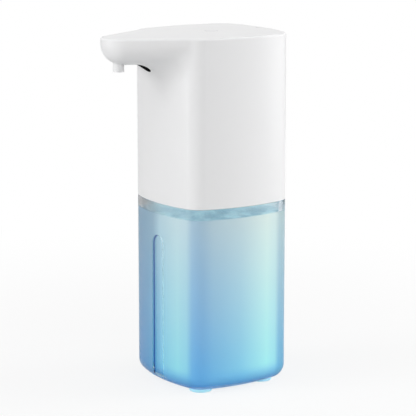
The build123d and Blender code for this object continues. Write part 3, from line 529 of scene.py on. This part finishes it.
def addDepthColour(tree, where, split, litShare):  # grey-cyan above, blue below, each as a lit and a shaded copy
    height = addRange(tree, soapLook["lowHeight"], soapLook["topHeight"], "LINEAR")
    cloud = addNoise(tree, soapLook["cloudDetail"], soapLook["cloudScale"])
    cloudStep = addMath(tree, "MULTIPLY_ADD", soapLook["cloudDepth"])
    cloudStep.inputs[2].default_value = -soapLook["cloudDepth"] / 2
    clouded = addMath(tree, "ADD", use_clamp=True)
    rim = addRange(tree, soapLook["lowHeight"], soapLook["rimTop"])  # the painted light fades out towards the bottom edge, which stays deep blue
    litShareLow = addMath(tree, "MULTIPLY")
    low = addMix(tree, soapLook["lowShaded"], soapLook["lowLit"])
    top = addMix(tree, soapLook["topShaded"], soapLook["topLit"])
    depthColour = addMix(tree)
    link = tree.links.new
    link(split.outputs["Z"], height.inputs["Value"])
    link(where.outputs["Object"], cloud.inputs["Vector"])
    link(cloud.outputs["Fac"], cloudStep.inputs[0])
    link(height.outputs[0], clouded.inputs[0])
    link(cloudStep.outputs[0], clouded.inputs[1])
    link(split.outputs["Z"], rim.inputs["Value"])
    link(litShare.outputs["Color"], litShareLow.inputs[0])
    link(rim.outputs[0], litShareLow.inputs[1])
    link(litShareLow.outputs[0], low.inputs["Factor"])
    link(litShare.outputs["Color"], top.inputs["Factor"])
    link(clouded.outputs[0], depthColour.inputs["Factor"])
    link(low.outputs["Result"], depthColour.inputs["A"])
    link(top.outputs["Result"], depthColour.inputs["B"])
    return depthColour


def addRoundShade(tree, angle, depthColour):  # once round the tank: the front stands in more shade
    turn = addRange(tree, -math.pi, math.pi, "LINEAR")
    shade = addRamp(tree, soapLook["shade"])
    shaded = addMix(tree)
    shaded.blend_type = "MULTIPLY"
    shaded.inputs["Factor"].default_value = 1
    link = tree.links.new
    link(angle.outputs[0], turn.inputs["Value"])
    link(turn.outputs[0], shade.inputs["Fac"])
    link(depthColour.outputs["Result"], shaded.inputs["A"])
    link(shade.outputs["Color"], shaded.inputs["B"])
    return shaded


def addSurfaceColour(tree, where):  # painted reflection on the rippled surface: darker, with lighter streaks
    streak = addNoise(tree, soapLook["streakDetail"], soapLook["streakScale"])
    streakStep = addRange(tree, *soapLook["streakSpan"])
    surface = addMix(tree, soapLook["surfaceShadeColour"], soapLook["surfaceStreakLight"])
    link = tree.links.new
    link(where.outputs["Object"], streak.inputs["Vector"])
    link(streak.outputs["Fac"], streakStep.inputs["Value"])
    link(streakStep.outputs[0], surface.inputs["Factor"])
    return surface


def addPaintedGlow(tree, colour, strength):  # painted glow, standing in for light scattered inside the gel
    paintedGlow = addNode(tree, "ShaderNodeVectorMath", operation="SCALE")
    paintedGlow.inputs["Scale"].default_value = strength
    tree.links.new(colour.outputs["Result"], paintedGlow.inputs[0])
    return paintedGlow


def soapMaterial():
    mat, tree, shader = nodeMaterial("blueSoap")
    where = addNode(tree, "ShaderNodeTexCoord")
    centre = addNode(tree, "ShaderNodeMapping")
    centre.inputs["Location"].default_value = (-bodyAxis.x, -bodyAxis.y, 0)
    split = addNode(tree, "ShaderNodeSeparateXYZ")
    angle = addMath(tree, "ARCTAN2")
    # painted light and shade on the sides of the soap
    depthColour = addDepthColour(tree, where, split, addSideLightBands(tree, angle))
    side = addRoundShade(tree, angle, depthColour)
    # painted reflection on the soap's top surface
    surface = addSurfaceColour(tree, where)
    facing = addNode(tree, "ShaderNodeNewGeometry")
    upward = addNode(tree, "ShaderNodeSeparateXYZ")
    onTop = addRange(tree, *soapLook["surfaceSlope"])
    colour = addMix(tree)
    # painted glow, stronger on the top surface
    sideGlow = addPaintedGlow(tree, side, soapLook["paintedGlow"])
    surfaceGlow = addPaintedGlow(tree, surface, soapLook["surfacePaintedGlow"])
    glow = addMix(tree)
    shader.inputs["Emission Strength"].default_value = 1
    shader.inputs["Roughness"].default_value = soapLook["roughness"]
    shader.inputs["IOR"].default_value = soapLook["ior"]
    link = tree.links.new
    link(where.outputs["Object"], centre.inputs["Vector"])
    link(centre.outputs[0], split.inputs[0])
    link(split.outputs["Y"], angle.inputs[0])
    link(split.outputs["X"], angle.inputs[1])
    link(facing.outputs["Normal"], upward.inputs[0])
    link(upward.outputs["Z"], onTop.inputs["Value"])
    link(onTop.outputs[0], colour.inputs["Factor"])
    link(side.outputs["Result"], colour.inputs["A"])
    link(surface.outputs["Result"], colour.inputs["B"])
    link(colour.outputs["Result"], shader.inputs["Base Color"])
    link(onTop.outputs[0], glow.inputs["Factor"])
    link(sideGlow.outputs[0], glow.inputs["A"])
    link(surfaceGlow.outputs[0], glow.inputs["B"])
    link(glow.outputs["Result"], shader.inputs["Emission Color"])
    return mat


soapBody = makeSoap()
soapBody.data.materials.append(soapMaterial())
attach(soapBody, "tank")
print("soap filled:", len(soapBody.data.polygons), "faces")


# floor, lights and camera

stage = dict(floorSize=6.0, floorColour=(0.82, 0.82, 0.82), floorBounce=(0.60, 0.60, 0.60),
             floorRoughness=0.9, floorSpecular=0.1, shadowReach=(0.10, 0.42), nearWhite=0.80,
             worldGlow=0.56, darkSide=-90, darkShare=0.95, darkSpan=(0.1, 0.9))
softBoxes = {  # azimuth and height above the horizon in degrees, from the body axis
    "frontBox": dict(azimuth=-14, rise=16, distance=0.85, width=0.34, height=0.75, power=3.35),
    "backBox": dict(azimuth=154, rise=14, distance=0.80, width=0.36, height=0.75, power=3.4),
    "sideBox": dict(azimuth=84, rise=12, distance=1.30, width=1.1, height=0.9, power=3.4),
    "topBox": dict(azimuth=40, rise=80, distance=1.50, width=2.2, height=2.2, power=8.8),
}
cameraView = dict(azimuth=56.9, rise=11.2, distance=1.096, lens=172.9, sideStep=-0.00173, upStep=-0.0009,
                  clip=(0.01, 20))


def wayTo(azimuth, rise):
    a, e = math.radians(azimuth), math.radians(rise)
    return Vector((math.sin(a) * math.cos(e), -math.cos(a) * math.cos(e), math.sin(e)))


def addSeen(tree, path):  # 1 where the camera looks, straight or through the clear wall
    seen = addMath(tree, "MAXIMUM")
    tree.links.new(path.outputs["Is Camera Ray"], seen.inputs[0])
    tree.links.new(path.outputs["Is Transmission Ray"], seen.inputs[1])
    return seen


def floorMaterial():
    mat, tree, shader = nodeMaterial("paleFloor")
    where = addNode(tree, "ShaderNodeTexCoord")
    distance = addNode(tree, "ShaderNodeVectorMath", operation="LENGTH")
    fade = addRange(tree, *stage["shadowReach"])  # the shadow shows near the object and fades to white
    fade.inputs["To Min"].default_value = stage["nearWhite"]
    path = addNode(tree, "ShaderNodeLightPath")
    seen = addSeen(tree, path)
    share = addMath(tree, "MULTIPLY")
    glow = addNode(tree, "ShaderNodeEmission")
    mixed = addNode(tree, "ShaderNodeMixShader")
    tone = addMix(tree, stage["floorColour"], stage["floorBounce"])  # throws back less light than it shows
    shader.inputs["Roughness"].default_value = stage["floorRoughness"]
    shader.inputs["Specular IOR Level"].default_value = stage["floorSpecular"]
    link = tree.links.new
    link(where.outputs["Object"], distance.inputs[0])
    link(distance.outputs["Value"], fade.inputs["Value"])
    link(path.outputs["Is Diffuse Ray"], tone.inputs["Factor"])
    link(tone.outputs["Result"], shader.inputs["Base Color"])
    link(fade.outputs[0], share.inputs[0])
    link(seen.outputs[0], share.inputs[1])
    link(share.outputs[0], mixed.inputs["Fac"])
    link(shader.outputs[0], mixed.inputs[1])
    link(glow.outputs[0], mixed.inputs[2])
    link(mixed.outputs[0], tree.nodes["Material Output"].inputs["Surface"])
    return mat


def makeFloor():
    deselectAll()
    bpy.ops.mesh.primitive_plane_add(size=stage["floorSize"], location=(0, 0, 0))
    floor = bpy.context.object
    floor.name = "paleFloor"
    floor.data.materials.append(floorMaterial())


def makeWorld():
    world = bpy.data.worlds.new("studio")
    bpy.context.scene.world = world
    world.use_nodes = True
    tree = world.node_tree
    background = tree.nodes["Background"]
    background.inputs["Color"].default_value = (1, 1, 1, 1)
    where = addNode(tree, "ShaderNodeTexCoord")
    aside = addNode(tree, "ShaderNodeVectorMath", operation="DOT_PRODUCT")
    aside.inputs[1].default_value = wayTo(stage["darkSide"], 0)
    dim = addRange(tree, *stage["darkSpan"])  # one side of the studio is darker
    dim.inputs["To Min"].default_value = stage["worldGlow"]
    dim.inputs["To Max"].default_value = stage["worldGlow"] * (1 - stage["darkShare"])
    path = addNode(tree, "ShaderNodeLightPath")
    seen = addSeen(tree, path)
    shown = addMath(tree, "MAXIMUM")  # the white surroundings, seen and mirrored
    level = addRange(tree, 0, 1, "LINEAR")
    link = tree.links.new
    link(where.outputs["Generated"], aside.inputs[0])
    link(aside.outputs["Value"], dim.inputs["Value"])
    link(dim.outputs[0], level.inputs["To Min"])
    link(seen.outputs[0], shown.inputs[0])
    link(path.outputs["Is Glossy Ray"], shown.inputs[1])
    link(shown.outputs[0], level.inputs["Value"])
    link(level.outputs[0], background.inputs["Strength"])


def makeLights():
    for name, box in softBoxes.items():
        data = bpy.data.lights.new(name, "AREA")
        data.shape = "RECTANGLE"
        data.size, data.size_y = box["width"], box["height"]
        data.energy = box["power"]
        lamp = bpy.data.objects.new(name, data)
        bpy.context.collection.objects.link(lamp)
        way = wayTo(box["azimuth"], box["rise"])
        lamp.location = bodyMiddle + way * box["distance"]
        lamp.rotation_euler = (-way).to_track_quat("-Z", "Y").to_euler()
        lamp.visible_transmission = False  # the lamps aren't seen through the tank


def makeCamera():
    data = bpy.data.cameras.new("photoView")
    data.lens = cameraView["lens"]
    data.clip_start, data.clip_end = cameraView["clip"]
    camera = bpy.data.objects.new("photoView", data)
    bpy.context.collection.objects.link(camera)
    back = wayTo(cameraView["azimuth"], cameraView["rise"])
    turn = (-back).to_track_quat("-Z", "Y")
    target = bodyMiddle + turn @ Vector((cameraView["sideStep"], cameraView["upStep"], 0))
    camera.location = target + back * cameraView["distance"]
    camera.rotation_euler = turn.to_euler()
    bpy.context.scene.camera = camera


makeFloor()
makeWorld()
makeLights()
makeCamera()
bpy.context.scene.view_settings.view_transform = "Standard"
print("stage set")
